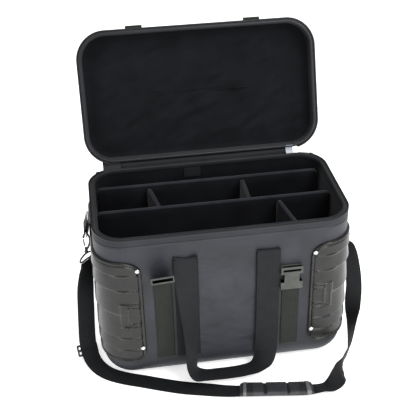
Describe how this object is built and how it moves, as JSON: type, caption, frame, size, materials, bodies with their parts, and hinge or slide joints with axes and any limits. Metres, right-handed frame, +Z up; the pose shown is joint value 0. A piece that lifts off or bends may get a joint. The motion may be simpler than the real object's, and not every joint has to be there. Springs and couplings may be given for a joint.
{
  "type": "miniature carry case",
  "caption": "Soft-sided zip-lidded carry case with padded dividers, moulded end guards, webbing handles, buckle straps and a clip-on shoulder strap.",
  "frame": {"origin": "centre of the case's base, on the surface it stands on", "axes": "+X to the right seen from the front, +Y to the back, where the lid is hinged, +Z up"},
  "size_m": [0.6753, 0.5765, 0.6609],
  "materials": {
    "case_cloth": "coated polyester cloth over foam",
    "binding_tape": "woven binding tape",
    "zip": "coil zip on woven tape",
    "velour": "brushed loop lining",
    "guard_plastic": "moulded satin plastic",
    "webbing": "flat woven webbing",
    "strap_webbing": "flat woven webbing",
    "buckle_plastic": "moulded satin plastic",
    "hardware_black": "black lacquered die casting",
    "bright_steel": "plated steel",
    "pad_rubber": "moulded grip"
  },
  "bodies": {
    "case": {"base_board": "velour", "body_lining": "velour", "body_rim_binding": "binding_tape", "body_shell": "case_cloth", "body_zip": "zip", "buckle_socket_left": "buckle_plastic", "buckle_socket_right": "buckle_plastic", "buckle_webbing_left": "webbing", "buckle_webbing_right": "webbing", "care_label": "binding_tape", "end_guard_left": "guard_plastic", "end_guard_right": "guard_plastic", "front_handle_leg_left": "webbing", "front_handle_leg_right": "webbing", "hinge_panel": "case_cloth", "rear_handle_leg_left": "webbing", "rear_handle_leg_right": "webbing", "rivet_front_left_lower": "bright_steel", "rivet_front_left_upper": "bright_steel", "rivet_front_right_lower": "bright_steel", "rivet_front_right_upper": "bright_steel", "rivet_rear_left_lower": "bright_steel", "rivet_rear_left_upper": "bright_steel", "rivet_rear_right_lower": "bright_steel", "rivet_rear_right_upper": "bright_steel", "shoulder_pad": "pad_rubber", "shoulder_strap": "strap_webbing", "side_ring_left": "bright_steel", "side_ring_right": "bright_steel", "side_tab_left": "webbing", "side_tab_right": "webbing", "snap_hook_left": "hardware_black", "snap_hook_right": "hardware_black", "strap_fold_back": "strap_webbing", "swivel_loop_left": "hardware_black", "swivel_loop_right": "hardware_black", "tri_glide": "hardware_black", "zip_slider_left": "hardware_black", "zip_slider_right": "hardware_black"},
    "lid": {"lid_shell": "case_cloth", "lid_lining": "velour", "lid_rim_binding": "binding_tape", "lid_zip": "zip", "tail_anchor_left": "webbing", "tail_anchor_right": "webbing"},
    "tail_left": {"tail_webbing_left": "webbing", "buckle_plug_left": "buckle_plastic"},
    "zip_pull_left": {"zip_pull_left": "hardware_black"},
    "snap_gate_left": {"snap_gate_left": "hardware_black"},
    "tail_right": {"tail_webbing_right": "webbing", "buckle_plug_right": "buckle_plastic"},
    "zip_pull_right": {"zip_pull_right": "hardware_black"},
    "snap_gate_right": {"snap_gate_right": "hardware_black"},
    "front_handle": {"front_handle_loop": "webbing"},
    "rear_handle": {"rear_handle_loop": "webbing"},
    "long_divider_rear": {"long_divider_rear": "velour"},
    "long_divider_front": {"long_divider_front": "velour"},
    "cross_divider_left": {"cross_divider_left": "velour"},
    "cross_divider_right": {"cross_divider_right": "velour"},
    "cross_divider_front": {"cross_divider_front": "velour"}
  },
  "joints": [
    {"name": "lid_hinge", "type": "hinge", "parent": "case", "child": "lid", "pos_m": [0, 0.1504, 0.3788], "axis": [1, 0, 0], "range_deg": [-54.2, 110.8], "deforming": ["hinge_panel"]},
    {"name": "buckle_tail_swing_left", "type": "hinge", "parent": "lid", "child": "tail_left", "pos_m": [-0.1355, 0.3011, 0.64824], "axis": [1, 0, 0], "range_deg": [-12, 249.2]},
    {"name": "buckle_tail_swing_right", "type": "hinge", "parent": "lid", "child": "tail_right", "pos_m": [0.1355, 0.3011, 0.64824], "axis": [1, 0, 0], "range_deg": [-12, 249.2]},
    {"name": "front_handle_swing", "type": "hinge", "parent": "case", "child": "front_handle", "pos_m": [0, -0.1544, 0.317], "axis": [-1, 0, 0], "range_deg": [0, 165]},
    {"name": "rear_handle_swing", "type": "hinge", "parent": "case", "child": "rear_handle", "pos_m": [0, 0.1544, 0.317], "axis": [1, 0, 0], "range_deg": [0, 90]},
    {"name": "zip_pull_swing_left", "type": "hinge", "parent": "case", "child": "zip_pull_left", "pos_m": [-0.25086, 0.13898, 0.363], "axis": [0.7668, 0.6419, 0], "range_deg": [0, 95]},
    {"name": "zip_pull_swing_right", "type": "hinge", "parent": "case", "child": "zip_pull_right", "pos_m": [0.25086, 0.13898, 0.363], "axis": [0.7668, -0.6419, 0], "range_deg": [0, 95]},
    {"name": "snap_gate_hinge_left", "type": "hinge", "parent": "case", "child": "snap_gate_left", "pos_m": [-0.29028, 0.00264, 0.26705], "axis": [0.5704, 0.8192, -0.06], "range_deg": [0, 20], "stiffness_Nm_per_rad": 0.01, "springref_deg": -11.46},
    {"name": "snap_gate_hinge_right", "type": "hinge", "parent": "case", "child": "snap_gate_right", "pos_m": [0.28278, -0.00264, 0.26626], "axis": [-0.5704, 0.8192, -0.06], "range_deg": [0, 20], "stiffness_Nm_per_rad": 0.01, "springref_deg": -11.46},
    {"name": "long_divider_rear_lift", "type": "slide", "parent": "case", "child": "long_divider_rear", "axis": [0, 0, 1], "range_m": [0, 0.04]},
    {"name": "long_divider_front_lift", "type": "slide", "parent": "case", "child": "long_divider_front", "axis": [0, 0, 1], "range_m": [0, 0.04]},
    {"name": "cross_divider_left_lift", "type": "slide", "parent": "case", "child": "cross_divider_left", "axis": [0, 0, 1], "range_m": [0, 0.04]},
    {"name": "cross_divider_right_lift", "type": "slide", "parent": "case", "child": "cross_divider_right", "axis": [0, 0, 1], "range_m": [0, 0.04]},
    {"name": "cross_divider_front_lift", "type": "slide", "parent": "case", "child": "cross_divider_front", "axis": [0, 0, 1], "range_m": [0, 0.04]}
  ]
}
